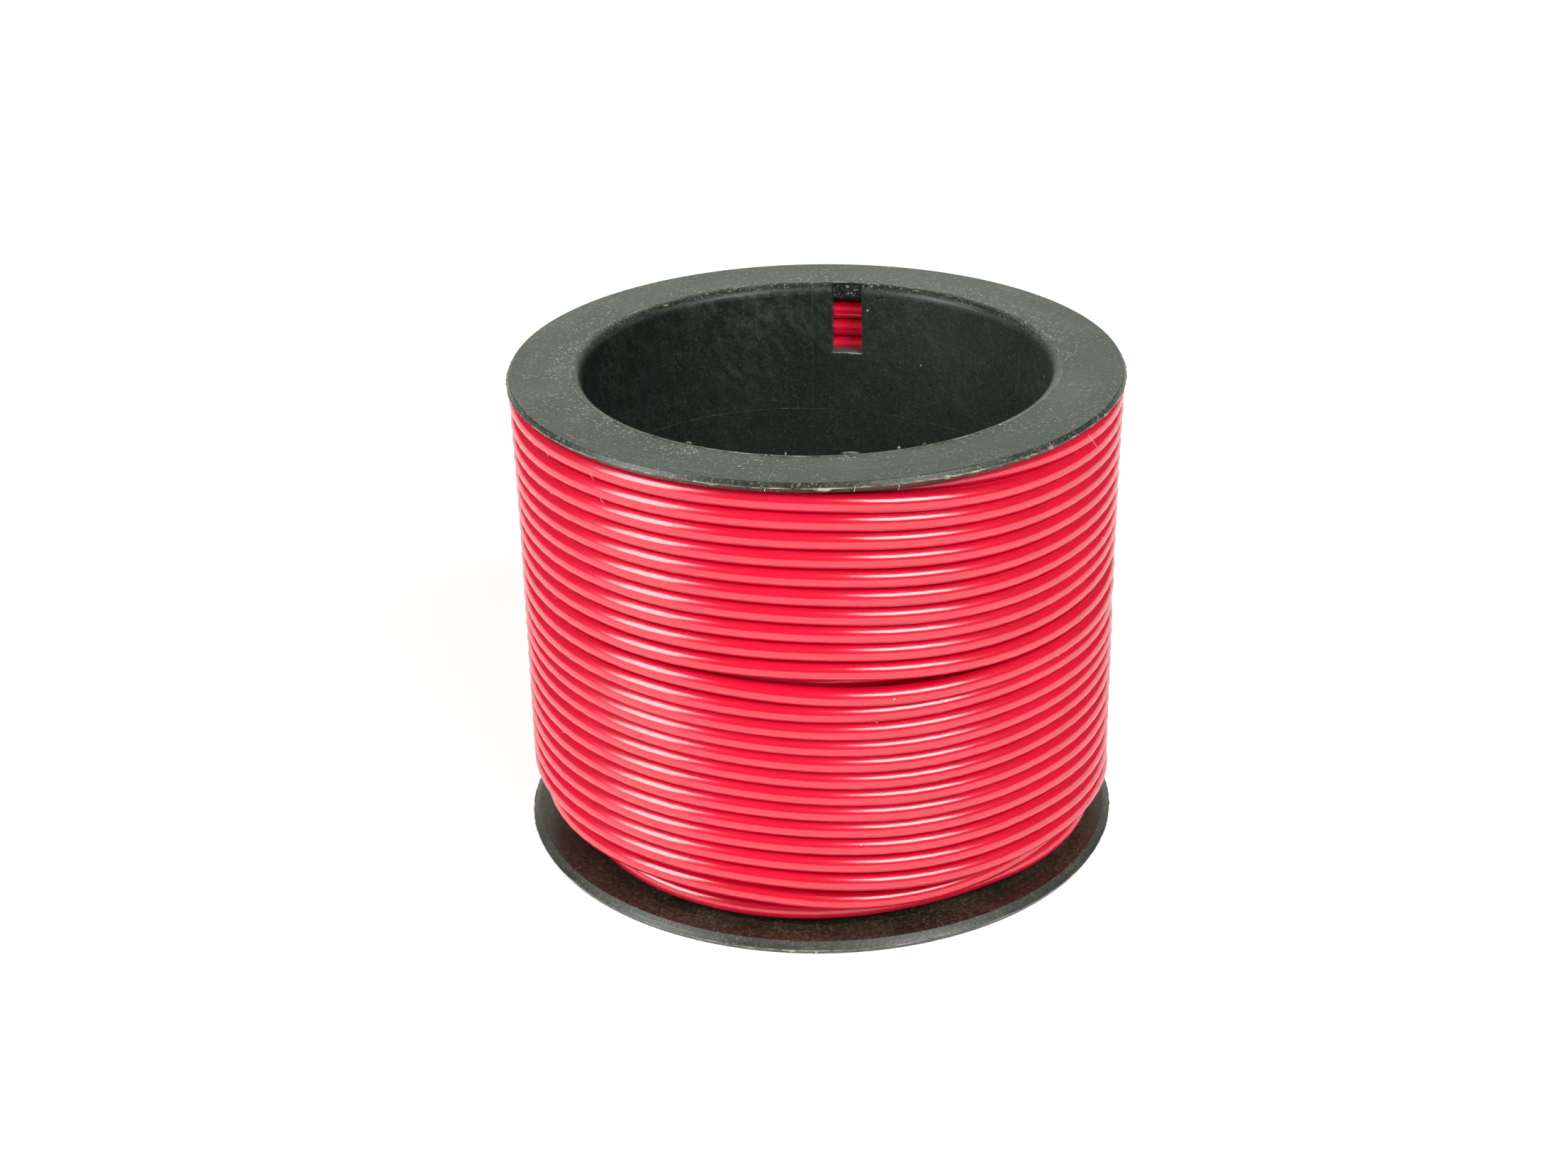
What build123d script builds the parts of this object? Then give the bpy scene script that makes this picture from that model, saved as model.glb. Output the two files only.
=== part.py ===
from build123d import *

import os
from math import cos, hypot, pi, radians, sin, sqrt, tan

# Small spool of hook-up wire: one plastic moulding with two thin flanges on a hollow barrel,
# three layers of insulated stranded wire, and the wire's free end lying on the lower
# flange.  Millimetres.  The origin is the middle of the lower flange's outer face, on the
# spool's axis, and +Z runs up the axis.  The slot in the barrel is on the +Y side.

# Spool
bore_radius = 19.0
barrel_wall = 1.5
spool_height = 40.5
flange_thickness = 0.95
flange_margin = 0.40          # how far the flanges stand past the winding
rim_land = 0.40               # edge of a flange, between its outer face and its widest line
rim_draft = 0.20              # how far that edge leans in towards the outer face
rim_round = 0.10              # outer corner of a flange
bore_mouth_round = 0.85

# Slot through the barrel's wall, under the upper flange
slot_width = 2.65
slot_ceiling_depth = 1.50     # below the upper flange's outer face
slot_sill_depth = 6.25
slot_bearing = 80.8           # degrees from +X, counterclockwise from above
slot_lead_in = 0.95           # depth of the groove that runs from the slot up to the bore's mouth

# Wire
wire_diameter = 1.5
strand_diameter = 0.20
strand_clearance = 0.01       # between neighbouring strands, and round the bundle
outer_strands = 6             # round one middle strand
bared_length = 0.70           # strands standing out of the cut end
modelled_core = 4.0           # length of strands that is modelled inside the cut end

# Winding: the layers nest in each other's grooves.  Their free ends are counted in wire
# diameters from the flanges' inner faces.
layer_names = ("wire_inner_layer", "wire_middle_layer", "wire_outer_layer")
gap_below = (0.60, 1.60, 2.49)
gap_above = (0.87, 0.04, 0.04)
layer_clearance = 0.02        # between a layer and the barrel, and between two layers
layer_end_round = 0.25        # round on a layer's ends, in wire diameters

# Free end of the wire: bearing in degrees, then the distance of its centreline out from the
# barrel and up from the lower flange's inner face, both in wire diameters.
tail_route = (
    (4, 2.36, 1.97),
    (17, 2.45, 1.93),
    (33, 2.52, 1.72),
    (50, 2.54, 1.42),
    (68, 2.55, 1.10),
    (87, 2.56, 0.82),
    (107, 2.55, 0.62),
    (127, 2.55, 0.53),
    (147, 2.53, 0.52),
    (166, 2.36, 0.52),
)
arc_share = 0.45              # share of the shorter run that each arc of the tail may use

barrel_radius = bore_radius + barrel_wall
layer_step = wire_diameter * sqrt(3) / 2
winding_radius = barrel_radius + wire_diameter + layer_step * (len(layer_names) - 1)
flange_radius = winding_radius + flange_margin
rim_bevel = flange_thickness - rim_land
lower_face = flange_thickness
upper_face = spool_height - flange_thickness
bundle_radius = 1.5 * strand_diameter + 2 * strand_clearance


def layer_radius(count):
    """Radius of the boundary outside the given number of layers."""
    if count == 0:
        return barrel_radius
    if count == len(layer_names):
        return winding_radius
    return barrel_radius + wire_diameter / 2 + layer_step * (count - 0.5)


def tail_points():
    """The tail's route as points."""
    points = []
    for bearing, out, up in tail_route:
        distance = barrel_radius + out * wire_diameter
        height = lower_face + up * wire_diameter
        points.append(Vector(distance * cos(radians(bearing)), distance * sin(radians(bearing)), height))
    return points


def corner_radii(points):
    """Radius of the tail's arc at each inner point."""
    radii = []
    for before, here, after in zip(points, points[1:], points[2:]):
        turn = radians((here - before).get_angle(after - here))
        shorter = min((here - before).length, (after - here).length)
        radii.append(arc_share * shorter / tan(turn / 2))
    return radii


os.makedirs("parts", exist_ok=True)

# Spool: one moulding, turned from its half section, with the slot and its lead-in groove cut
with BuildPart() as spool:
    with BuildSketch(Plane.XZ) as half_section:
        with BuildLine():
            Polyline(
                (bore_radius, 0),
                (flange_radius - rim_draft, 0),
                (flange_radius, rim_land),
                (flange_radius - rim_bevel, lower_face),
                (barrel_radius, lower_face),
                (barrel_radius, upper_face),
                (flange_radius - rim_bevel, upper_face),
                (flange_radius, spool_height - rim_land),
                (flange_radius - rim_draft, spool_height),
                (bore_radius, spool_height),
                close=True,
            )
        make_face()
        fillet(half_section.vertices().group_by(Axis.X)[0], bore_mouth_round)
        face_corners = half_section.vertices().sort_by(Axis.Y)
        fillet([face_corners[:2].sort_by(Axis.X)[-1], face_corners[-2:].sort_by(Axis.X)[-1]], rim_round)
    revolve(axis=Axis.Z)

    bearing = radians(slot_bearing)
    slot_plane = Plane(
        origin=(0, 0, 0),
        x_dir=(-sin(bearing), cos(bearing), 0),
        z_dir=(cos(bearing), sin(bearing), 0),
    )
    slot_middle = spool_height - (slot_ceiling_depth + slot_sill_depth) / 2
    with BuildSketch(slot_plane.offset(bore_radius / 2)):
        with Locations((0, slot_middle)):
            Rectangle(slot_width, slot_sill_depth - slot_ceiling_depth)
    extrude(amount=bore_radius / 2 + barrel_wall + wire_diameter, mode=Mode.SUBTRACT)
    with BuildSketch(slot_plane.offset(bore_radius / 2)):
        with Locations((0, spool_height - slot_ceiling_depth)):
            Rectangle(slot_width, slot_ceiling_depth, align=(Align.CENTER, Align.MIN))
    extrude(amount=bore_radius / 2 + slot_lead_in, mode=Mode.SUBTRACT)
spool.part.label = "spool"
export_step(spool.part, "parts/spool.step")

# Winding: one closed ring for each layer of turns
for index, layer_name in enumerate(layer_names):
    inside = layer_radius(index) + layer_clearance
    outside = layer_radius(index + 1)
    bottom = lower_face + gap_below[index] * wire_diameter
    top = upper_face - gap_above[index] * wire_diameter
    with BuildPart() as layer:
        with BuildSketch(Plane.XZ) as layer_section:
            with Locations(((inside + outside) / 2, (bottom + top) / 2)):
                Rectangle(outside - inside, top - bottom)
            fillet(layer_section.vertices(), layer_end_round * wire_diameter)
        revolve(axis=Axis.Z)
    layer.part.label = layer_name
    export_step(layer.part, f"parts/{layer_name}.step")

# Tail: the stretch of wire past the last turn, with a bored end for its strands
route = tail_points()
radii = corner_radii(route)
end_point = route[-1]
end_direction = (route[-1] - route[-2]).normalized()
end_plane = Plane(origin=end_point, z_dir=end_direction)
with BuildPart() as wire_tail:
    with BuildLine() as tail_path:
        FilletPolyline(*route, radius=radii)
    with BuildSketch(Plane(origin=route[0], z_dir=route[1] - route[0])):
        Circle(wire_diameter / 2)
    sweep(path=tail_path.wires()[0])
    print("tail arc radii, mm:", ", ".join(f"{radius:.1f}" for radius in radii))
    swept_volume = pi * (wire_diameter / 2) ** 2 * tail_path.wires()[0].length
    print(f"tail length {tail_path.wires()[0].length:.1f} mm,",
          f"volume {wire_tail.part.volume:.2f} mm3, section times length {swept_volume:.2f} mm3")
    with BuildSketch(end_plane.offset(-modelled_core)):
        Circle(bundle_radius)
    extrude(amount=modelled_core, mode=Mode.SUBTRACT)
wire_tail.part.label = "wire_tail"
export_step(wire_tail.part, "parts/wire_tail.step")

# Conductor: one middle strand and a ring of strands round it
with BuildPart() as conductor_strands:
    with BuildSketch(end_plane.offset(-modelled_core)):
        Circle(strand_diameter / 2)
        with PolarLocations(strand_diameter + strand_clearance, outer_strands):
            Circle(strand_diameter / 2)
    extrude(amount=modelled_core + bared_length)
conductor_strands.part.label = "conductor_strands"
export_step(conductor_strands.part, "parts/conductor_strands.step")

print(f"flange diameter {2 * flange_radius:.2f} mm, winding diameter {2 * winding_radius:.2f} mm")
print(f"tail end at bearing {tail_route[-1][0]} degrees, {hypot(end_point.X, end_point.Y):.2f} mm out")
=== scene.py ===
from math import cos, exp, pi, radians, sin

import bmesh
import bpy
from mathutils import Matrix, Quaternion, Vector, noise


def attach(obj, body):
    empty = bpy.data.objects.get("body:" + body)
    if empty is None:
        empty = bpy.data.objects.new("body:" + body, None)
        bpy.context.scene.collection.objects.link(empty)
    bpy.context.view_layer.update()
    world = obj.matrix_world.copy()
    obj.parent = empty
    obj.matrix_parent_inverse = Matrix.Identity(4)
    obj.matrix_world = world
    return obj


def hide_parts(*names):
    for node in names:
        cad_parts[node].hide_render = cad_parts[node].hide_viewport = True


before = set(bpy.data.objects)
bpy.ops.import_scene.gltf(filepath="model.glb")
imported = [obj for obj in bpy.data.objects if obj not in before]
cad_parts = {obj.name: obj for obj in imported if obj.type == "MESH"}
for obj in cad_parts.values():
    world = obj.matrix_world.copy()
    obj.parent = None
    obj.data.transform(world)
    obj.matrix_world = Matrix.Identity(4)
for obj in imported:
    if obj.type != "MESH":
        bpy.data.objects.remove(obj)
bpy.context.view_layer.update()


MM = 0.001

# Spool, in millimetres, as in the CAD
BORE_RADIUS = 19.0
FLANGE_RADIUS = 25.0
SPOOL_HEIGHT = 40.5
FLANGE_THICKNESS = 0.95
RIM_LAND = 0.40
BORE_MOUTH_ROUND = 0.85
SLOT_BEARING = 170.8            # degrees from the front, growing towards the right
SLOT_SILL_HEIGHT = 34.25
BORE_SKIN = BORE_RADIUS + 0.06  # what lies inside this radius is the bore's wall

# Flash and witness lines, in millimetres
RIM_LINE = FLANGE_RADIUS - 0.02  # the mould's parting line round each rim
MOULD_SPLIT_HEIGHT = 28.95      # where the two core pins met inside the bore
MOULD_SPLIT_TILT = 0.75         # how much lower that line is at the right
FLASH_STEPS = 1440              # facets round a ring of flash
FLASH_ROOT = 0.05               # how deep a ring of flash sits in the plastic
SILL_BEAD_LENGTH = 2.75         # the bead on the slot's sill, pale as painted light on its edge
SILL_BEAD_DEPTH = 0.10
SILL_BEAD_HEIGHT = 0.13
WHISKER_THICKNESS = 0.030
FIBRE_THICKNESS = 0.022

# Wire, in millimetres
WIRE_SHOWN_RADIUS = 0.768       # soft turns press together, with no daylight between them
INNER_RADIUS = 21.27            # centreline of each layer
MIDDLE_RADIUS = 22.57
OUTER_RADIUS = 23.87
FIRST_HEIGHT = 37.50            # the inner layer's first turn, as it passes the slot
TOP_HEIGHT = 38.80              # a turn that lies against the upper flange
OUTER_PITCH = 1.524
SIDE_BULGE = 0.25               # how far the top turn stands out at the sides and the back
BULGE_TURNS = 4.5               # turns over which that bulge dies away
STEP_BULGE = 0.12               # how far a turn rides up where it steps down to the next
STEP_SPREAD = 16.0              # degrees over which it rides up
SUNK_TURN = 12                  # this turn of the outer layer lies a little deeper
SUNK_DEPTH = 0.16
WAVER_OUT = 0.012               # a hand-laid turn's small unevenness
WAVER_UP = 0.018

# What the lights point at, in metres: the middle of the spool
LIGHT_TARGET = Vector((0, 0, 0.02))

# ---------------------------------------------------------------- camera

CAMERA_PLACE = Vector((-2.91, -201.34, 116.24)) * MM
CAMERA_AIM = Vector((-2.91, 0.0, 20.29)) * MM
CAMERA_ROLL = -0.0188

camera_data = bpy.data.cameras.new("camera")
camera_data.lens = 60.79
camera_data.sensor_width = 36.0
camera_data.clip_start = 0.01
camera_data.clip_end = 20.0
camera = bpy.data.objects.new("camera", camera_data)
bpy.context.scene.collection.objects.link(camera)
camera.location = CAMERA_PLACE
camera.rotation_mode = "QUATERNION"
aim = (CAMERA_AIM - CAMERA_PLACE).to_track_quat("-Z", "Y")
camera.rotation_quaternion = aim @ Quaternion((0, 0, 1), CAMERA_ROLL)
bpy.context.scene.camera = camera


# ---------------------------------------------------------------- the wire's path
# The wire is followed by its running bearing in degrees: 0 is the front, it grows towards
# the right, and each turn adds 360.

TURN = 360.0
FIRST_BEARING = -100.0          # the wire's start, on the barrel at the back left
INNER_END = 22 * TURN           # front of the inner layer's last turn
MIDDLE_START = INNER_END + TURN
MIDDLE_TURNS = 21
MIDDLE_END = MIDDLE_START + TURN * (MIDDLE_TURNS + 1)
OUTER_START = MIDDLE_END + TURN
OUTER_TURNS = 22
OUTER_END = OUTER_START + TURN * (OUTER_TURNS - 1)
CLIMB_START = MIDDLE_END - 10
CLIMB_END = OUTER_START - 60
TAIL_START = OUTER_END + 60
JUMP_WIDTH = 54.0               # degrees over which a turn steps down to the next
SIDE = 75.0                     # bearings past which a turn runs round the back
CONTROL_STEP = 15.0             # degrees of bearing between the curve's points
PULL_IN = 0.9915                # how far a quadratic curve runs inside such points


def ease(share):
    share = min(1.0, max(0.0, share))
    return share * share * (3 - 2 * share)


def blend_along(bearing, stations):
    """Value between the stations, a smooth curve through (bearing, value) pairs."""
    if bearing <= stations[0][0]:
        return stations[0][1]
    for index in range(len(stations) - 1):
        (b0, v0), (b1, v1) = stations[index], stations[index + 1]
        if bearing <= b1:
            before = stations[index - 1] if index else stations[0]
            after = stations[index + 2] if index + 2 < len(stations) else stations[-1]
            slope0 = (v1 - before[1]) / max(b1 - before[0], 1e-6)
            slope1 = (after[1] - v0) / max(after[0] - b0, 1e-6)
            span = b1 - b0
            t = (bearing - b0) / span
            return ((2 * t**3 - 3 * t**2 + 1) * v0 + (t**3 - 2 * t**2 + t) * span * slope0
                    + (3 * t**2 - 2 * t**3) * v1 + (t**3 - t**2) * span * slope1)
    return stations[-1][1]


def bulge(bearing):
    """The top turns stand out a little at the sides and the back, less with each turn."""
    aside = abs((bearing + 180) % TURN - 180)
    turns_down = max(0.0, (bearing - OUTER_START) / TURN)
    return SIDE_BULGE * exp(-turns_down / BULGE_TURNS) * ease((aside - 35) / 40.0)


def jump_middle(turn):
    """Bearing at which a turn of the outer layer steps down at the front."""
    return blend_along(turn, (
        (1, 18), (4, 18), (6.5, 14), (9, 17), (10, 18), (11, -3), (13, -4), (15, -2),
        (18, 5), (20, 8), (22, 4)))


def jump_drop(turn):
    """How far it steps down there, in millimetres."""
    return blend_along(turn, (
        (1, 1.30), (2, 1.20), (4, 1.13), (6, 1.17), (7, 1.20), (9, 1.07), (10, 1.13), (11, 1.12),
        (12, 0.82), (13, 0.82), (15, 0.97), (17, 1.06), (19, 0.94), (20, 1.00), (22, 1.18)))


def level_at_left(turn):
    """Height of a turn of the outer layer at the front left."""
    slack = 0.10 + 0.40 * exp(-((turn - 12.2) / 2.2) ** 2)
    return TOP_HEIGHT - OUTER_PITCH * (turn - 1) - slack


def sag_left(turn):
    """How far a turn hangs below its level at the left edge of the front."""
    return blend_along(turn, (
        (1, 0.0), (2, 0.22), (4, 0.22), (6, 0.08), (9, 0.0), (13, -0.12), (14, -0.20), (16, 0.08),
        (20, 0.20), (22, 0.20)))


def sag_right(turn):
    """How far a turn hangs below its level at the right edge of the front."""
    return blend_along(turn, (
        (1, 0.0), (4, 0.0), (6, -0.18), (9, -0.36), (10, 0.02), (11, 0.16), (12, 0.42), (14, 0.10),
        (16, 0.18), (18, 0.46), (20, 0.84), (22, 0.55)))


# The last turn of the inner layer and the first of the middle one lie loose on the lower
# flange's side: (running bearing, radius, height)
LOOSE_ROUTE = (
    (INNER_END - 120, 21.27, 3.20),
    (INNER_END - 52, 21.40, 2.62),
    (INNER_END - 40, 21.75, 2.36),
    (INNER_END - 16, 21.90, 2.26),
    (INNER_END, 21.90, 2.32),
    (INNER_END + 20, 21.80, 2.52),
    (INNER_END + 30, 21.82, 2.64),
    (INNER_END + 40, 22.05, 2.54),
    (INNER_END + 54, 22.40, 2.34),
    (INNER_END + 70, 22.60, 2.28),
    (INNER_END + 120, 22.75, 2.25),
    (INNER_END + 180, 22.75, 2.55),
    (INNER_END + 240, 22.85, 3.35),
    (MIDDLE_START - 62, 23.00, 4.14),
    (MIDDLE_START - 35, 23.20, 4.61),
    (MIDDLE_START - 20, 23.30, 4.70),
    (MIDDLE_START - 10, 23.30, 4.46),
    (MIDDLE_START, 23.30, 4.06),
    (MIDDLE_START + 8, 23.28, 3.80),
    (MIDDLE_START + 20, 23.10, 3.68),
    (MIDDLE_START + 40, 22.80, 3.80),
    (MIDDLE_START + 60, 22.57, 3.95),
    (MIDDLE_START + 150, 22.57, 4.60),
    (MIDDLE_START + 240, 22.57, 5.40),
    (MIDDLE_START + 328, 22.57, 6.00),
)
LOOSE_RADII = tuple((b, r) for b, r, z in LOOSE_ROUTE)
LOOSE_HEIGHTS = tuple((b, z) for b, r, z in LOOSE_ROUTE)

# The free end: past the last turn it comes down to lie on the lower flange
TAIL_RADII = tuple((OUTER_END + b, r) for b, r in (
    (60, OUTER_RADIUS), (95, 24.00), (140, 24.03), (180, 24.01), (220, 24.03), (256, 24.04)))
TAIL_HEIGHTS = tuple((OUTER_END + b, z) for b, z in (
    (60, 5.30), (80, 4.95), (100, 3.95), (123, 3.52), (140, 3.05), (158, 2.58), (177, 2.17),
    (197, 1.88), (217, 1.76), (237, 1.74), (256, 1.73)))
LAST_BEARING = TAIL_RADII[-1][0]


def inner_point(bearing):
    """Radius and height on the inner layer, which is wound downwards."""
    start, end = SLOT_BEARING, LOOSE_ROUTE[0][0]
    share = max(0.0, (bearing - start) / (end - start))
    height = FIRST_HEIGHT - share * (FIRST_HEIGHT - LOOSE_ROUTE[0][2])
    return INNER_RADIUS, height


def middle_point(bearing):
    """Radius and height on the middle layer, which is wound upwards."""
    start, radius, bottom = LOOSE_ROUTE[-1]
    share = min(1.0, (bearing - start) / (CLIMB_START - start))
    return radius, bottom + share * (TOP_HEIGHT - bottom)


def outer_point(bearing):
    """Radius and height on the outer layer: level at the front, with one step down a turn."""
    turn = int((bearing - OUTER_START + SIDE) // TURN) + 1
    here = bearing - OUTER_START - TURN * (turn - 1)
    middle = jump_middle(turn)
    if here <= SIDE:
        step_down = ease((here - middle + JUMP_WIDTH / 2) / JUMP_WIDTH)
        height = (level_at_left(turn) - jump_drop(turn) * step_down
                  - sag_left(turn) * ease((-here - 30) / 45)
                  - sag_right(turn) * ease((here - 40) / 35))
    else:
        # round the back the wire gives up what is left of its pitch
        right = level_at_left(turn) - jump_drop(turn) - sag_right(turn)
        left = level_at_left(turn + 1) - sag_left(turn + 1)
        share = (here - SIDE) / (TURN - 2 * SIDE)
        height = right + (left - right) * (0.5 * share + 0.5 * ease(share))
    radius = OUTER_RADIUS + STEP_BULGE * exp(-((here - middle) / STEP_SPREAD) ** 2)
    if turn == SUNK_TURN:
        radius -= SUNK_DEPTH * ease((here + 12) / 25) * (1 - ease((here - 60) / 60))
    return radius + bulge(bearing), min(height, TOP_HEIGHT)


def climb_point(bearing):
    """From the middle layer up onto the outer one, against the upper flange."""
    share = ease((bearing - MIDDLE_END - 10) / 52.0)
    radius = MIDDLE_RADIUS + share * (OUTER_RADIUS + bulge(bearing) - MIDDLE_RADIUS)
    settle = ease((bearing - MIDDLE_END - 60) / 240.0)
    return radius, TOP_HEIGHT - settle * (TOP_HEIGHT - level_at_left(1))


def wire_point(bearing):
    """Radius and height of the wire's centreline at a running bearing."""
    if bearing < LOOSE_ROUTE[0][0]:
        return inner_point(bearing)
    if bearing < LOOSE_ROUTE[-1][0]:
        return blend_along(bearing, LOOSE_RADII), blend_along(bearing, LOOSE_HEIGHTS)
    if bearing < CLIMB_START:
        return middle_point(bearing)
    if bearing < CLIMB_END:
        return climb_point(bearing)
    if bearing < TAIL_START:
        return outer_point(bearing)
    return blend_along(bearing, TAIL_RADII), blend_along(bearing, TAIL_HEIGHTS)


def place(bearing, radius, height):
    """A point in metres from a bearing in degrees and two lengths in millimetres."""
    angle = radians(bearing)
    return Vector((radius * sin(angle), -radius * cos(angle), height)) * MM


def wire_route():
    """The curve's points, in metres, and the wire's length."""
    count = int(round((LAST_BEARING - FIRST_BEARING) / CONTROL_STEP))
    points = []
    length = 0.0
    before = None
    for index in range(count + 1):
        bearing = FIRST_BEARING + (LAST_BEARING - FIRST_BEARING) * index / count
        radius, height = wire_point(bearing)
        radius += WAVER_OUT * noise.noise(Vector((bearing * 0.031, 4.7, 0.3)))
        height += WAVER_UP * noise.noise(Vector((bearing * 0.023, 1.3, 7.1)))
        here = place(bearing, radius, height)
        if before is not None:
            length += (here - before).length
        before = here
        scale = 1.0 if index in (0, count) else 1 / PULL_IN
        points.append(place(bearing, radius * scale, height))
    return points, length


# ---------------------------------------------------------------- material helpers

def new_material(name):
    material = bpy.data.materials.new(name)
    material.use_nodes = True
    material.node_tree.nodes.clear()
    return material


def add(tree, kind, **values):
    node = tree.nodes.new(kind)
    for key, value in values.items():
        setattr(node, key, value)
    return node


def join(tree, source, target):
    tree.links.new(source, target)


def math_node(tree, operation, first, second=None, third=None, clamp=False):
    node = add(tree, "ShaderNodeMath", operation=operation, use_clamp=clamp)
    for socket, value in zip(node.inputs, (first, second, third)):
        if value is None:
            continue
        if isinstance(value, (int, float)):
            socket.default_value = value
        else:
            join(tree, value, socket)
    return node.outputs[0]


def times(tree, first, second):
    return math_node(tree, "MULTIPLY", first, second)


def add_to(tree, value, share, extra):
    """The value with a share of something extra on top."""
    return math_node(tree, "MULTIPLY_ADD", extra, share, value)


def without(tree, mask):
    return math_node(tree, "SUBTRACT", 1.0, mask)


def split_vector(tree, vector):
    node = add(tree, "ShaderNodeSeparateXYZ")
    join(tree, vector, node.inputs[0])
    return node.outputs


def ramp(tree, factor, stops):
    """Colour ramp over (position, colour) stops; a plain number makes a grey."""
    node = add(tree, "ShaderNodeValToRGB")
    elements = node.color_ramp.elements
    while len(elements) > 1:
        elements.remove(elements[-1])
    for index, (position, colour) in enumerate(stops):
        element = elements[0] if index == 0 else elements.new(position)
        element.position = position
        if isinstance(colour, (int, float)):
            colour = (colour, colour, colour)
        element.color = (*colour, 1.0)
    join(tree, factor, node.inputs["Fac"])
    return node.outputs["Color"]


def mix_colour(tree, factor, first, second, blend="MIX"):
    node = add(tree, "ShaderNodeMix", data_type="RGBA", blend_type=blend)
    for socket, value in zip((node.inputs[0], node.inputs[6], node.inputs[7]), (factor, first, second)):
        if isinstance(value, (int, float)):
            socket.default_value = value
        elif isinstance(value, tuple):
            socket.default_value = (*value, 1.0)
        else:
            join(tree, value, socket)
    return node.outputs[2]


def noise_of(tree, vector, scale, detail=3.0, rough=0.55, distortion=0.0):
    node = add(tree, "ShaderNodeTexNoise")
    node.inputs["Scale"].default_value = scale
    node.inputs["Detail"].default_value = detail
    node.inputs["Roughness"].default_value = rough
    node.inputs["Distortion"].default_value = distortion
    join(tree, vector, node.inputs["Vector"])
    return node.outputs["Fac"]


def make_group(name, inputs, outputs):
    group = bpy.data.node_groups.new(name, "ShaderNodeTree")
    for label, kind, value in inputs:
        socket = group.interface.new_socket(label, in_out="INPUT", socket_type=kind)
        if value is not None:
            socket.default_value = value
    for label, kind in outputs:
        group.interface.new_socket(label, in_out="OUTPUT", socket_type=kind)
    source = add(group, "NodeGroupInput")
    target = add(group, "NodeGroupOutput")
    return group, source, target


def use_group(tree, group, vector=None, **values):
    node = add(tree, "ShaderNodeGroup")
    node.node_tree = group
    if vector is not None:
        join(tree, vector, node.inputs["Vector"])
    for key, value in values.items():
        node.inputs[key.replace("_", " ")].default_value = value
    return node


def round_axis_group():
    """Object coordinates turned into (distance round the axis, radius, height), in metres."""
    group, source, target = make_group(
        "round_the_axis", [("Vector", "NodeSocketVector", None)], [("Vector", "NodeSocketVector")])
    x, y, z = split_vector(group, source.outputs["Vector"])
    angle = math_node(group, "ARCTAN2", x, times(group, y, -1.0))
    radius = math_node(group, "SQRT", math_node(group, "ADD", times(group, x, x), times(group, y, y)))
    merge = add(group, "ShaderNodeCombineXYZ")
    join(group, times(group, angle, FLANGE_RADIUS * MM), merge.inputs[0])
    join(group, radius, merge.inputs[1])
    join(group, z, merge.inputs[2])
    join(group, merge.outputs[0], target.inputs["Vector"])
    return group


def speck_group():
    """Small separate specks of dust or grit: 1 on a speck, 0 elsewhere."""
    group, source, target = make_group(
        "dust_specks",
        [("Vector", "NodeSocketVector", None), ("Scale", "NodeSocketFloat", 900.0),
         ("Size", "NodeSocketFloat", 0.16), ("Share", "NodeSocketFloat", 0.2)],
        [("Mask", "NodeSocketFloat")])
    cells = add(group, "ShaderNodeTexVoronoi", feature="F1")
    join(group, source.outputs["Vector"], cells.inputs["Vector"])
    join(group, source.outputs["Scale"], cells.inputs["Scale"])
    split = add(group, "ShaderNodeSeparateColor")
    join(group, cells.outputs["Color"], split.inputs[0])
    chosen = math_node(group, "LESS_THAN", split.outputs[0], source.outputs["Share"])
    grown = times(group, source.outputs["Size"],
                  math_node(group, "ADD", times(group, split.outputs[1], 0.9), 0.25))
    inside = math_node(group, "SUBTRACT", 1.0,
                       math_node(group, "DIVIDE", cells.outputs["Distance"], grown), clamp=True)
    sharp = math_node(group, "MULTIPLY", inside, 3.0, clamp=True)
    join(group, times(group, sharp, chosen), target.inputs["Mask"])
    return group


def streak_group():
    """Long fine lines along one direction of the vector, between 0 and 1."""
    group, source, target = make_group(
        "long_streaks",
        [("Vector", "NodeSocketVector", None), ("Stretch", "NodeSocketVector", (1.0, 1.0, 1.0)),
         ("Scale", "NodeSocketFloat", 600.0)],
        [("Lines", "NodeSocketFloat")])
    stretched = add(group, "ShaderNodeVectorMath", operation="MULTIPLY")
    join(group, source.outputs["Vector"], stretched.inputs[0])
    join(group, source.outputs["Stretch"], stretched.inputs[1])
    texture = add(group, "ShaderNodeTexNoise")
    texture.inputs["Detail"].default_value = 4.0
    texture.inputs["Roughness"].default_value = 0.62
    join(group, stretched.outputs[0], texture.inputs["Vector"])
    join(group, source.outputs["Scale"], texture.inputs["Scale"])
    join(group, texture.outputs["Fac"], target.inputs["Lines"])
    return group


ROUND_AXIS = round_axis_group()
SPECKS = speck_group()
STREAKS = streak_group()


def specks_of(tree, here, scale, size, share):
    return use_group(tree, SPECKS, here, Scale=scale, Size=size, Share=share).outputs["Mask"]


def streaks_of(tree, vector, stretch, scale):
    return use_group(tree, STREAKS, vector, Stretch=stretch, Scale=scale).outputs["Lines"]


def wound_coordinates(tree, here):
    return use_group(tree, ROUND_AXIS, here).outputs["Vector"]


def new_shader(name):
    """A material with a principled shader: returns it, its tree, the shader and where we are."""
    material = new_material(name)
    tree = material.node_tree
    shader = add(tree, "ShaderNodeBsdfPrincipled")
    here = add(tree, "ShaderNodeTexCoord").outputs["Object"]
    return material, tree, shader, here


def finish_shader(tree, shader):
    output = add(tree, "ShaderNodeOutputMaterial")
    join(tree, shader.outputs[0], output.inputs["Surface"])


def bump(tree, height, strength, distance):
    node = add(tree, "ShaderNodeBump")
    node.inputs["Strength"].default_value = strength
    node.inputs["Distance"].default_value = distance
    join(tree, height, node.inputs["Height"])
    return node.outputs[0]


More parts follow.
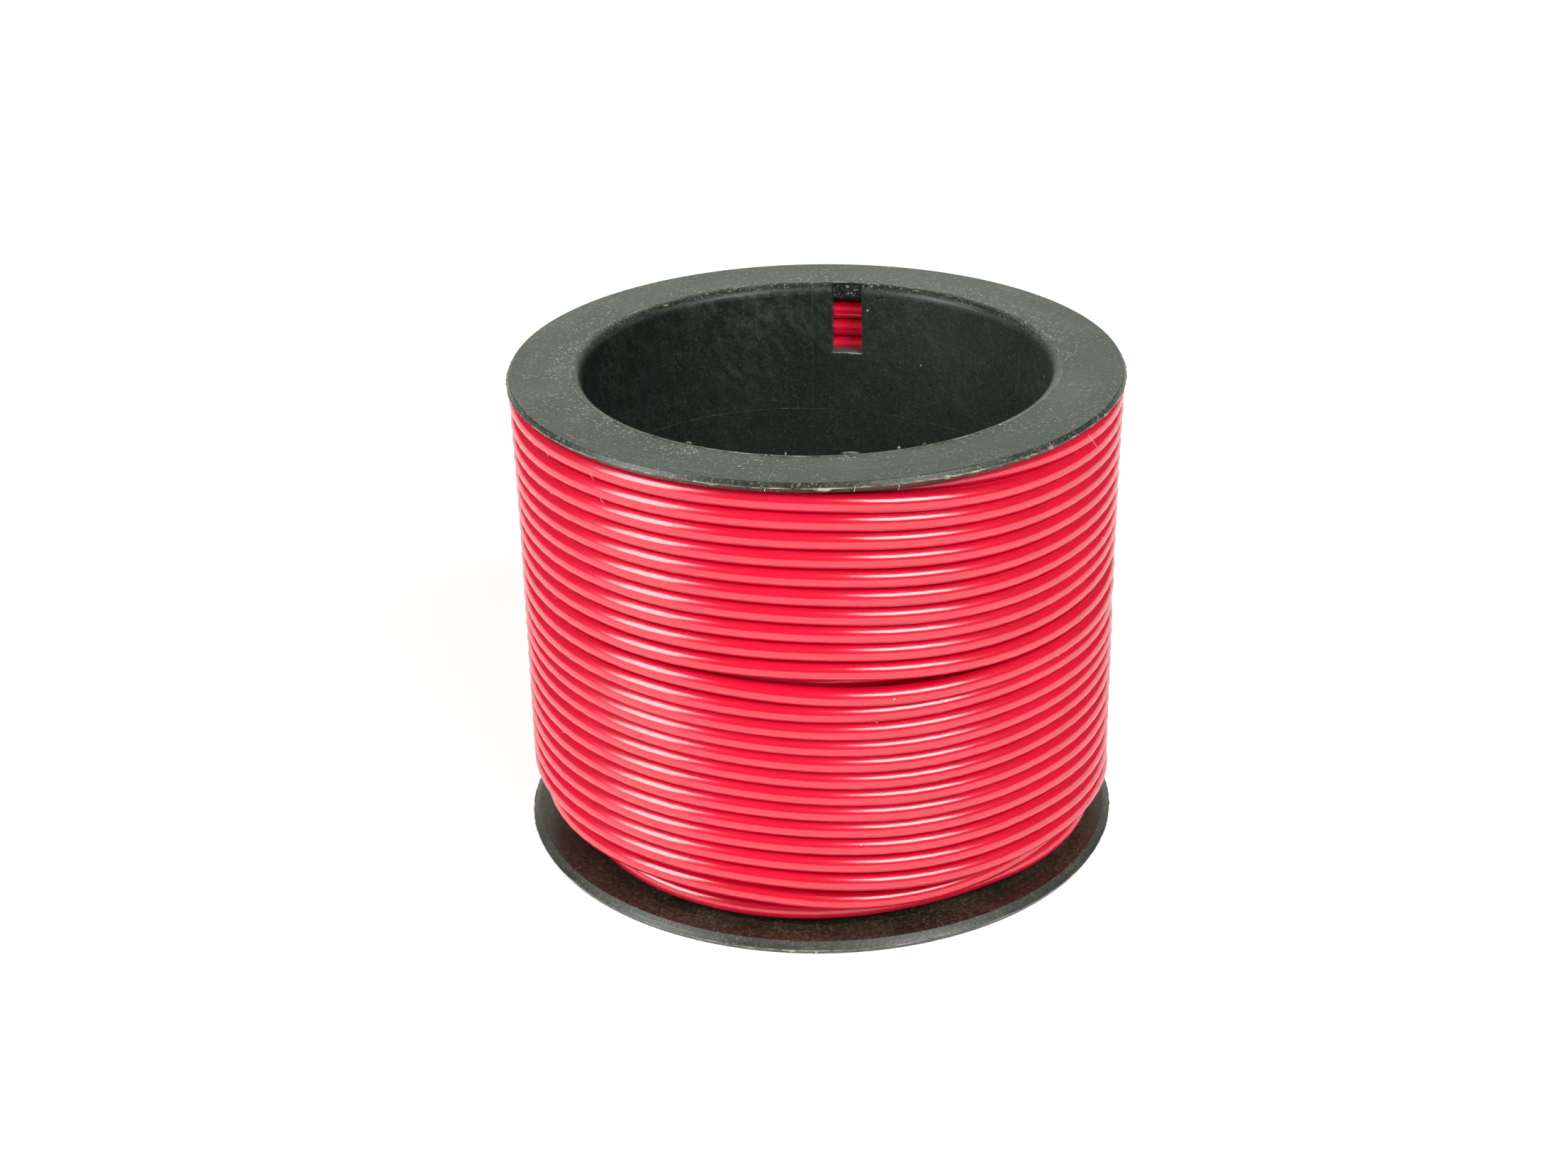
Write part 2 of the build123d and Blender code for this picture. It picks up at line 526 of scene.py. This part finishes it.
# ---------------------------------------------------------------- materials

def insulation_material():
    """Soft red PVC: smooth, with faint lines along the wire, dull rubbed patches and dust."""
    material, tree, shader, here = new_shader("red_wire_insulation")
    shader.inputs["IOR"].default_value = 1.58
    shader.inputs["Specular IOR Level"].default_value = 0.77
    shader.inputs["Subsurface Weight"].default_value = 0.75
    shader.inputs["Subsurface Radius"].default_value = (1.0, 0.04, 0.04)
    shader.inputs["Subsurface Scale"].default_value = 0.0010
    wound = wound_coordinates(tree, here)
    lines = streaks_of(tree, wound, (0.035, 1.0, 1.0), 5200.0)
    patches = noise_of(tree, here, 210.0, detail=3.0)
    tone = ramp(tree, patches, [(0.30, (0.575, 0.0014, 0.0280)), (0.70, (0.640, 0.0026, 0.0350))])
    lined = ramp(tree, lines, [(0.30, 0.955), (0.62, 1.0)])
    toned = mix_colour(tree, 1.0, tone, lined, "MULTIPLY")
    # painted light: the turns seen through the slot get a brighter red, standing in for light falling on
    # them
    radius = split_vector(tree, wound)[1]
    painted_light_behind_slot = math_node(tree, "LESS_THAN", radius, (INNER_RADIUS - 0.15) * MM)
    toned = mix_colour(tree, painted_light_behind_slot, toned, (0.97, 0.0035, 0.046))
    dust = specks_of(tree, here, 760.0, 0.085, 0.075)
    join(tree, mix_colour(tree, dust, toned, (0.84, 0.50, 0.46)), shader.inputs["Base Color"])
    rough = math_node(tree, "MULTIPLY_ADD", noise_of(tree, here, 95.0, detail=2.0), 0.10, 0.155)
    join(tree, add_to(tree, rough, 0.4, dust), shader.inputs["Roughness"])
    surface = add_to(tree, times(tree, dust, 2.0), 0.5, lines)
    join(tree, bump(tree, surface, 0.05, 0.000006), shader.inputs["Normal"])
    finish_shader(tree, shader)
    return material


def bore_wall_colour_and_painted_shade(tree, here, wound, grain, height):
    """Inside the bore the plastic is smoother and painted darker as shade, darkest at the left and painted
    lighter towards the right where light falls, with a slanting chalky haze.
    """
    across = split_vector(tree, here)[0]
    above_split = ramp(tree, times(tree, height, 1 / (SPOOL_HEIGHT * MM)),
                       [(0.69, 0.25), (0.73, 0.75), (0.90, 1.0)])
    slant = add(tree, "ShaderNodeVectorRotate", rotation_type="Y_AXIS")
    join(tree, wound, slant.inputs["Vector"])
    slant.inputs["Angle"].default_value = 0.75
    strokes = streaks_of(tree, slant.outputs[0], (0.45, 1.0, 1.0), 1300.0)
    clouds = noise_of(tree, here, 75.0, detail=3.5, distortion=0.5)
    chalk = times(tree, ramp(tree, strokes, [(0.42, 0.0), (0.70, 1.0)]),
                  ramp(tree, clouds, [(0.40, 0.12), (0.64, 1.0)]))
    chalk = times(tree, chalk, above_split)
    # painted shade and light: the wall is coloured darkest at its left and lighter towards its right, where
    # the light falls
    wall = ramp(tree, math_node(tree, "MULTIPLY_ADD", across, 0.5 / (BORE_RADIUS * MM), 0.5),
                [(0.0, (0.0020, 0.0040, 0.0026)), (0.55, (0.0062, 0.0100, 0.0066)),
                 (1.0, (0.0120, 0.0185, 0.0120))])
    wall = mix_colour(tree, times(tree, chalk, 0.65), wall, (0.046, 0.058, 0.050))
    wall = mix_colour(tree, 1.0, wall, ramp(tree, grain, [(0.34, 0.70), (0.66, 1.45)]), "MULTIPLY")
    # a faint weld line runs down the back of the wall, in its middle
    weld = times(tree, math_node(tree, "COMPARE", across, 0.0, 0.05 * MM), strokes)
    return mix_colour(tree, times(tree, weld, above_split), wall, (0.021, 0.029, 0.022))


def settled_specks(tree, here, radius, height):
    """Dust gathers round the mouth of the bore and thins out towards the rim."""
    near_mouth = ramp(tree, times(tree, radius, 1 / (FLANGE_RADIUS * MM)),
                      [(0.765, 0.06), (0.795, 1.0), (0.850, 0.75), (0.905, 0.42), (0.970, 0.50)])
    cloud = ramp(tree, noise_of(tree, here, 260.0, detail=3.5), [(0.38, 0.20), (0.60, 1.0)])
    settled = times(tree, near_mouth, cloud)
    open_above = math_node(tree, "GREATER_THAN", height, 2.0 * FLANGE_THICKNESS * MM)
    settled = times(tree, settled, math_node(tree, "MULTIPLY_ADD", open_above, 0.60, 0.40))
    powder = times(tree, specks_of(tree, here, 3800.0, 0.46, 0.85), 0.75)
    crumbs = specks_of(tree, here, 1600.0, 0.20, 0.55)
    grit = times(tree, specks_of(tree, here, 640.0, 0.09, 0.12), 0.8)
    dust = times(tree, math_node(tree, "MAXIMUM", powder, crumbs), settled)
    return math_node(tree, "MAXIMUM", dust, grit)


def spool_material():
    """Dusty black moulded plastic with a green cast, scuffed, chalky and gritty at the edges."""
    material, tree, shader, here = new_shader("black_spool_plastic")
    shader.inputs["IOR"].default_value = 1.49
    wound = wound_coordinates(tree, here)
    radius, height = split_vector(tree, wound)[1:3]
    in_bore = math_node(tree, "LESS_THAN", radius, BORE_SKIN * MM)
    off_bore = without(tree, in_bore)

    haze = noise_of(tree, here, 130.0, detail=6.0, rough=0.62, distortion=0.4)
    grain = noise_of(tree, here, 3600.0, detail=3.0, rough=0.7)
    base = ramp(tree, haze, [(0.34, (0.0100, 0.0140, 0.0095)), (0.56, (0.021, 0.0275, 0.0190)),
                             (0.76, (0.046, 0.055, 0.040))])
    fine = ramp(tree, grain, [(0.30, 0.50), (0.50, 0.95), (0.72, 2.6)])
    base = mix_colour(tree, 1.0, base, fine, "MULTIPLY")
    rings = streaks_of(tree, wound, (0.020, 1.0, 1.0), 3300.0)
    scuffs = ramp(tree, rings, [(0.57, 0.0), (0.72, 1.0)])
    base = mix_colour(tree, times(tree, scuffs, 0.45), base, (0.085, 0.098, 0.075))
    base = mix_colour(tree, in_bore, base, bore_wall_colour_and_painted_shade(tree, here, wound, grain, height))

    # painted reflection: the lower flange's inner face is tinted red, standing in for the wire's red light
    # bounced onto it
    lower_face = math_node(tree, "COMPARE", height, FLANGE_THICKNESS * MM, 0.06 * MM)
    painted_red_bounce = mix_colour(tree, 1.0, base, (1.38, 0.72, 0.64), "MULTIPLY")
    base = mix_colour(tree, times(tree, lower_face, off_bore), base, painted_red_bounce)

    # the lower flange's bevel is worn pale
    worn = times(tree, math_node(tree, "GREATER_THAN", radius, (FLANGE_RADIUS - 0.57) * MM),
                 math_node(tree, "LESS_THAN", height, 1.2 * FLANGE_THICKNESS * MM))
    base = mix_colour(tree, times(tree, worn, 0.22), base, (0.090, 0.096, 0.080))

    specks = settled_specks(tree, here, radius, height)
    base = mix_colour(tree, specks, base, (0.40, 0.40, 0.325))
    # painted light: the slot's sill is painted paler, standing in for the light that falls on it
    sill = math_node(tree, "COMPARE", height, SLOT_SILL_HEIGHT * MM, 0.08 * MM)
    base = mix_colour(tree, times(tree, sill, off_bore), base, (0.085, 0.082, 0.080))
    join(tree, base, shader.inputs["Base Color"])

    rough = math_node(tree, "MULTIPLY_ADD", haze, 0.34, 0.17)
    rough = add_to(tree, rough, 0.22, grain)
    rough = add_to(tree, rough, 0.15, specks)
    rough = add_to(tree, rough, 0.10, in_bore)
    on_rim = math_node(tree, "GREATER_THAN", radius, (FLANGE_RADIUS - 0.30) * MM)
    join(tree, add_to(tree, rough, -0.10, on_rim), shader.inputs["Roughness"])
    surface = add_to(tree, times(tree, grain, 1.3), 0.9, rings)
    surface = add_to(tree, surface, 0.9, specks)
    join(tree, bump(tree, surface, 0.55, 0.000030), shader.inputs["Normal"])
    finish_shader(tree, shader)
    return material


def flash_material(name, dark, middle, pale):
    """Torn plastic flash: the same black, paler where it is thin and dusty."""
    material, tree, shader, here = new_shader(name)
    shader.inputs["IOR"].default_value = 1.49
    patches = noise_of(tree, here, 420.0, detail=4.0, rough=0.7)
    colour = ramp(tree, patches, [(0.36, dark), (0.50, middle), (0.64, pale)])
    dust = specks_of(tree, here, 1900.0, 0.3, 0.4)
    join(tree, mix_colour(tree, dust, colour, pale), shader.inputs["Base Color"])
    join(tree, math_node(tree, "MULTIPLY_ADD", patches, 0.3, 0.45), shader.inputs["Roughness"])
    torn = noise_of(tree, here, 3000.0, detail=3.0)
    join(tree, bump(tree, torn, 0.5, 0.00003), shader.inputs["Normal"])
    finish_shader(tree, shader)
    return material


def fibre_material():
    """Pale dust fibres and whiskers."""
    material, tree, shader, here = new_shader("pale_fibre")
    patches = noise_of(tree, here, 1800.0, detail=3.0)
    colour = ramp(tree, patches, [(0.36, (0.70, 0.46, 0.40)), (0.64, (0.88, 0.74, 0.68))])
    join(tree, colour, shader.inputs["Base Color"])
    join(tree, math_node(tree, "MULTIPLY_ADD", patches, 0.3, 0.4), shader.inputs["Roughness"])
    join(tree, bump(tree, patches, 0.3, 0.00001), shader.inputs["Normal"])
    finish_shader(tree, shader)
    return material


def crumb_material():
    """A stray crumb of pale green plastic."""
    material, tree, shader, here = new_shader("green_crumb")
    patches = noise_of(tree, here, 5200.0, detail=3.0, rough=0.7)
    colour = ramp(tree, patches, [(0.42, (0.10, 0.16, 0.075)), (0.60, (0.34, 0.50, 0.25))])
    join(tree, colour, shader.inputs["Base Color"])
    join(tree, math_node(tree, "MULTIPLY_ADD", patches, 0.3, 0.4), shader.inputs["Roughness"])
    join(tree, bump(tree, patches, 0.4, 0.00002), shader.inputs["Normal"])
    finish_shader(tree, shader)
    return material


def copper_material():
    """Drawn copper strand, brown in its tarnished patches."""
    material, tree, shader, here = new_shader("drawn_copper")
    shader.inputs["Metallic"].default_value = 1.0
    tarnish = noise_of(tree, here, 2200.0, detail=4.0, rough=0.65)
    dust = specks_of(tree, here, 5200.0, 0.25, 0.10)
    colour = ramp(tree, tarnish, [(0.34, (0.32, 0.105, 0.045)), (0.50, (0.78, 0.33, 0.17)),
                                  (0.72, (0.93, 0.47, 0.29))])
    join(tree, mix_colour(tree, dust, colour, (0.30, 0.16, 0.10)), shader.inputs["Base Color"])
    join(tree, math_node(tree, "MULTIPLY_ADD", tarnish, 0.30, 0.12), shader.inputs["Roughness"])
    drawn = noise_of(tree, here, 9000.0, detail=2.0)
    join(tree, bump(tree, drawn, 0.3, 0.000006), shader.inputs["Normal"])
    finish_shader(tree, shader)
    return material


RED_INSULATION = insulation_material()
BLACK_PLASTIC = spool_material()
TORN_FLASH = flash_material(
    "torn_flash", (0.030, 0.032, 0.024), (0.16, 0.145, 0.100), (0.44, 0.39, 0.27))
DULL_FLASH = flash_material(
    "dull_flash", (0.012, 0.016, 0.013), (0.040, 0.048, 0.042), (0.15, 0.17, 0.15))
# painted light: the sill bead's pale colours stand in for light falling on the sill's edge
SILL_PAINTED_LIGHT = flash_material(
    "sill_painted_light", (0.060, 0.058, 0.058), (0.115, 0.110, 0.110), (0.26, 0.25, 0.25))
PALE_FIBRE = fibre_material()
GREEN_CRUMB = crumb_material()
COPPER = copper_material()


def paint(obj, material):
    obj.data.materials.clear()
    obj.data.materials.append(material)


def show(name, data, material):
    """A new object that rides with the spool."""
    obj = bpy.data.objects.new(name, data)
    bpy.context.scene.collection.objects.link(obj)
    paint(obj, material)
    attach(obj, "root")
    return obj


def round_curve(name, strands, thickness, roundness, steps):
    """Smooth open curves of one round section, each through its own list of points."""
    curve = bpy.data.curves.new(name, "CURVE")
    curve.dimensions = "3D"
    curve.bevel_depth = thickness / 2 * MM
    curve.bevel_resolution = roundness
    curve.resolution_u = steps
    curve.use_fill_caps = True
    for strand in strands:
        spline = curve.splines.new("NURBS")
        spline.points.add(len(strand) - 1)
        for target, point in zip(spline.points, strand):
            target.co = (*point, 1.0)
        spline.order_u = 3
        spline.use_endpoint_u = True
        spline.resolution_u = steps
    return curve


# ---------------------------------------------------------------- the wire

route, wire_length = wire_route()
wire = show("wound_wire", round_curve("wound_wire", [route], 2 * WIRE_SHOWN_RADIUS, 6, 3),
            RED_INSULATION)
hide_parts("wire_inner_layer", "wire_middle_layer", "wire_outer_layer", "wire_tail")

# ---------------------------------------------------------------- the CAD nodes' finishes

paint(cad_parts["spool"], BLACK_PLASTIC)
paint(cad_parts["conductor_strands"], COPPER)


# ---------------------------------------------------------------- flash and witness lines

def smooth_mesh(name, mesh):
    """Turns a finished bmesh into smooth shaded mesh data."""
    data = bpy.data.meshes.new(name)
    mesh.to_mesh(data)
    mesh.free()
    for face in data.polygons:
        face.use_smooth = True
    return data


def plastic_piece(name, mesh, material):
    bmesh.ops.recalc_face_normals(mesh, faces=mesh.faces)
    return show(name, smooth_mesh(name, mesh), material)


def raggedness(direction, seed, busy):
    """How proud the flash stands in a direction from the axis, as a share of its height."""
    ragged = noise.noise(Vector((direction.x * 34, direction.y * 34, seed)))
    fine = noise.noise(Vector((direction.x * 150, direction.y * 150, seed + 5)))
    slow = noise.noise(Vector((direction.x * 3.1, direction.y * 3.1, seed + 9)))
    return max(0.1, 0.62 + busy * slow + 0.8 * ragged + 0.55 * fine)


def ring_of_flash(name, radius, height, lean, proud, thick, seed, busy, material=TORN_FLASH, tilt=0.0):
    """A thin ragged ring of flash: a bead whose height along `lean` varies round the rim."""
    mesh = bmesh.new()
    outward, up = Vector(lean).normalized()
    root_radius, root_height = radius - outward * FLASH_ROOT, height - up * FLASH_ROOT
    profile = [
        (root_radius - up * thick / 2, root_height + outward * thick / 2),
        (radius + outward * proud, height + up * proud),
        (root_radius + up * thick / 2, root_height - outward * thick / 2),
    ]
    corners = [mesh.verts.new((r * MM, 0, z * MM)) for r, z in profile]
    edges = [mesh.edges.new((corners[i], corners[(i + 1) % 3])) for i in range(3)]
    bmesh.ops.spin(mesh, geom=corners + edges, cent=(0, 0, 0), axis=(0, 0, 1), dvec=(0, 0, 0),
                   angle=2 * pi, steps=FLASH_STEPS, use_merge=True, use_normal_flip=False,
                   use_duplicate=False)
    for vertex in mesh.verts:
        flat = Vector((vertex.co.x, vertex.co.y, 0))
        along = (flat.length / MM - radius) * outward + (vertex.co.z / MM - height) * up
        if along > 0:
            direction = flat.normalized()
            shift = proud * (raggedness(direction, seed, busy) - 1.0)
            vertex.co += direction * outward * shift * MM
            vertex.co.z += up * shift * MM
    if tilt:
        bmesh.ops.rotate(mesh, verts=mesh.verts, cent=Vector((0, 0, height * MM)),
                         matrix=Matrix.Rotation(tilt / radius, 3, "Y"))
    return plastic_piece(name, mesh, material)


def add_lump(mesh, bearing, radius, height, long, deep, tall, seed):
    """One small torn lump: long round the axis, deep along the radius, tall along the axis."""
    made = bmesh.ops.create_icosphere(mesh, subdivisions=2, radius=0.5 * MM)["verts"]
    turned = Matrix.Rotation(radians(bearing), 3, "Z")
    centre = place(bearing, radius, height)
    for vertex in made:
        at = vertex.co / MM
        swell = 1.0 + 0.9 * noise.noise(at * 3.1 + Vector((seed, 0, 0)))
        vertex.co = turned @ Vector((at.x * long, at.y * deep, at.z * tall)) * swell * MM + centre


def lumps(name, places, material):
    """Torn lumps, each given by its bearing, radius and height, then its length, depth and height."""
    mesh = bmesh.new()
    for index, sizes in enumerate(places):
        add_lump(mesh, *sizes, 7.3 * (index + 1))
    return plastic_piece(name, mesh, material)


def fibres(name, strands, thickness):
    """Fine hairs, each a short smooth curve through (bearing, radius, height) places."""
    routes = [[place(*point) for point in strand] for strand in strands]
    return show(name, round_curve(name, routes, thickness, 1, 6), PALE_FIBRE)


def is_long(edge):
    return abs(edge.verts[0].co.x - edge.verts[1].co.x) > 0.5


def sill_bead_painted_light():
    """A bead along the inner edge of the slot's sill, pale as painted light falling on that edge."""
    mesh = bmesh.new()
    bmesh.ops.create_cube(mesh, size=1.0)
    bmesh.ops.subdivide_edges(mesh, edges=[edge for edge in mesh.edges if is_long(edge)],
                              cuts=40, use_grid_fill=True)
    for vertex in mesh.verts:
        bearing = SLOT_BEARING - vertex.co.x * SILL_BEAD_LENGTH / BORE_RADIUS * 180 / pi
        worn = 1.0 + 0.9 * noise.noise(Vector((bearing * 2.3, vertex.co.z * 0.4, 3.0)))
        vertex.co = place(bearing, BORE_RADIUS + 0.02 + vertex.co.y * SILL_BEAD_DEPTH * worn,
                          SLOT_SILL_HEIGHT - 0.02 + vertex.co.z * SILL_BEAD_HEIGHT * worn)
    return plastic_piece("slot_sill_painted_light", mesh, SILL_PAINTED_LIGHT)


ring_of_flash("flash_upper_rim", RIM_LINE, SPOOL_HEIGHT - RIM_LAND, lean=(0.85, -0.5),
              proud=0.09, thick=0.09, seed=2.0, busy=0.5)
ring_of_flash("flash_lower_rim", RIM_LINE, RIM_LAND, lean=(0.85, 0.5),
              proud=0.09, thick=0.09, seed=11.0, busy=0.7)
ring_of_flash("flash_bore_mouth", BORE_RADIUS + BORE_MOUTH_ROUND, SPOOL_HEIGHT, lean=(0.0, 1.0),
              proud=0.06, thick=0.11, seed=21.0, busy=0.5)
ring_of_flash("flash_bore_split", BORE_RADIUS, MOULD_SPLIT_HEIGHT, lean=(-1.0, 0.0),
              proud=0.04, thick=0.11, seed=31.0, busy=0.5, material=DULL_FLASH, tilt=MOULD_SPLIT_TILT)
sill_bead_painted_light()

lumps("mouth_burrs", (
    (6.6, 19.18, 40.42, 0.95, 0.30, 0.16), (17.8, 19.22, 40.44, 0.22, 0.20, 0.26),
    (-7.8, 19.10, 40.36, 0.14, 0.16, 0.30), (24.0, 19.25, 40.42, 0.40, 0.20, 0.14),
    (-31.0, 19.20, 40.42, 0.50, 0.22, 0.12), (152.0, 19.30, 40.46, 0.50, 0.20, 0.12),
    (-139.0, 19.25, 40.44, 0.60, 0.22, 0.12)), TORN_FLASH)
lumps("rim_burrs", (
    (0.0, 24.98, 40.04, 0.95, 0.20, 0.20), (-18.8, 24.98, 40.04, 0.60, 0.18, 0.16),
    (21.5, 24.97, 40.10, 0.70, 0.24, 0.26), (38.0, 24.96, 40.08, 0.55, 0.30, 0.22),
    (43.5, 24.95, 40.12, 0.80, 0.34, 0.22), (62.0, 24.96, 40.10, 0.90, 0.26, 0.20),
    (-57.0, 24.96, 40.10, 0.30, 0.22, 0.24), (19.1, 24.97, 0.36, 0.34, 0.26, 0.34),
    (-14.0, 24.98, 0.34, 0.80, 0.20, 0.16), (-6.5, 24.98, 0.33, 0.50, 0.22, 0.18),
    (-24.0, 24.98, 0.36, 0.60, 0.18, 0.16), (-2.0, 24.98, 0.30, 0.22, 0.20, 0.30),
    (205.0, 24.97, 40.10, 0.70, 0.24, 0.22), (250.0, 24.97, 0.36, 0.60, 0.22, 0.20)), TORN_FLASH)
lumps("green_fleck", (
    (-15.6, 22.30, 40.51, 0.42, 0.11, 0.07), (-14.7, 22.66, 40.51, 0.34, 0.12, 0.07)), GREEN_CRUMB)

fibres("rim_whiskers", (
    ((5.4, 24.98, 40.28), (5.5, 25.06, 40.05), (5.3, 25.02, 39.80)),
    ((12.9, 24.98, 40.05), (13.0, 25.06, 39.85), (12.8, 25.00, 39.62)),
    ((-9.5, 24.99, 40.05), (-9.7, 25.08, 39.93), (-9.6, 25.05, 39.84)),
    ((-2.2, 24.99, 0.40), (-2.3, 25.08, 0.25), (-2.0, 25.04, 0.12))), WHISKER_THICKNESS)
fibres("dust_fibres", (
    ((56.2, 24.75, 39.35), (57.2, 24.95, 38.75), (58.9, 24.86, 38.05), (60.9, 24.66, 37.52)),
    ((-44.4, 24.78, 38.62), (-44.2, 24.80, 38.40), (-43.6, 24.72, 38.12)),
    ((-57.8, 24.72, 38.62), (-57.6, 24.80, 38.44), (-57.4, 24.70, 38.20)),
    ((-63.6, 24.74, 38.52), (-63.3, 24.80, 38.40), (-62.9, 24.70, 38.28)),
    ((-42.3, 24.70, 36.80), (-42.0, 24.76, 36.66), (-41.5, 24.70, 36.50)),
    ((-57.6, 24.66, 35.30), (-57.3, 24.74, 35.20), (-56.9, 24.68, 35.12)),
    ((21.0, 24.68, 21.60), (21.6, 24.74, 21.40), (22.5, 24.66, 21.36)),
    ((140.0, 24.70, 28.00), (141.0, 24.78, 27.70), (142.6, 24.68, 27.60)),
    ((212.0, 24.70, 15.60), (213.2, 24.78, 15.40), (214.0, 24.66, 15.10))),
       FIBRE_THICKNESS)


# ---------------------------------------------------------------- floor and light

def flat_sheet(name, corner_points, colour, glow):
    """A softly glowing sheet of the room, which isn't part of the spool."""
    mesh = bmesh.new()
    mesh.faces.new([mesh.verts.new(point) for point in corner_points])
    obj = bpy.data.objects.new(name, smooth_mesh(name, mesh))
    bpy.context.scene.collection.objects.link(obj)
    material = new_material(name)
    tree = material.node_tree
    shader = add(tree, "ShaderNodeBsdfPrincipled")
    shader.inputs["Base Color"].default_value = (*colour, 1.0)
    shader.inputs["Roughness"].default_value = 0.9
    shader.inputs["Specular IOR Level"].default_value = 0.1
    shader.inputs["Emission Color"].default_value = (*colour, 1.0)
    shader.inputs["Emission Strength"].default_value = glow
    finish_shader(tree, shader)
    paint(obj, material)


def soft_box(name, direction, distance, width, height, power):
    """A rectangular light that points at the spool from a direction, sizes in metres."""
    data = bpy.data.lights.new(name, "AREA")
    data.shape = "RECTANGLE"
    data.size, data.size_y = width, height
    data.energy = power
    obj = bpy.data.objects.new(name, data)
    bpy.context.scene.collection.objects.link(obj)
    direction = Vector(direction).normalized()
    obj.location = LIGHT_TARGET + direction * distance
    obj.rotation_mode = "QUATERNION"
    obj.rotation_quaternion = direction.to_track_quat("Z", "Y")
    return obj


flat_sheet("pale_floor", ((-4, -4, 0), (4, -4, 0), (4, 4, 0), (-4, 4, 0)), (0.60, 0.60, 0.595), 0.97)
flat_sheet("white_card", ((-0.28, 0.72, 0.02), (0.28, 0.72, 0.02), (0.28, 0.80, 0.75), (-0.28, 0.80, 0.75)),
           (0.80, 0.865, 0.75), 0.94)
soft_box("left_soft_box", (-0.822, -0.331, 0.463), 0.60, 0.28, 0.41, 3.15)
soft_box("right_soft_box", (0.498, -0.587, 0.638), 0.60, 0.32, 0.25, 2.75)
front_fill = soft_box("front_fill", (0.142, -0.807, 0.574), 1.0, 1.3, 0.5, 4.0)
front_fill.visible_glossy = False

world = bpy.data.worlds.new("room")
world.use_nodes = True
background = world.node_tree.nodes["Background"]
background.inputs["Color"].default_value = (0.97, 1.0, 0.95, 1.0)
background.inputs["Strength"].default_value = 0.10
bpy.context.scene.world = world
bpy.context.scene.view_settings.view_transform = "Standard"
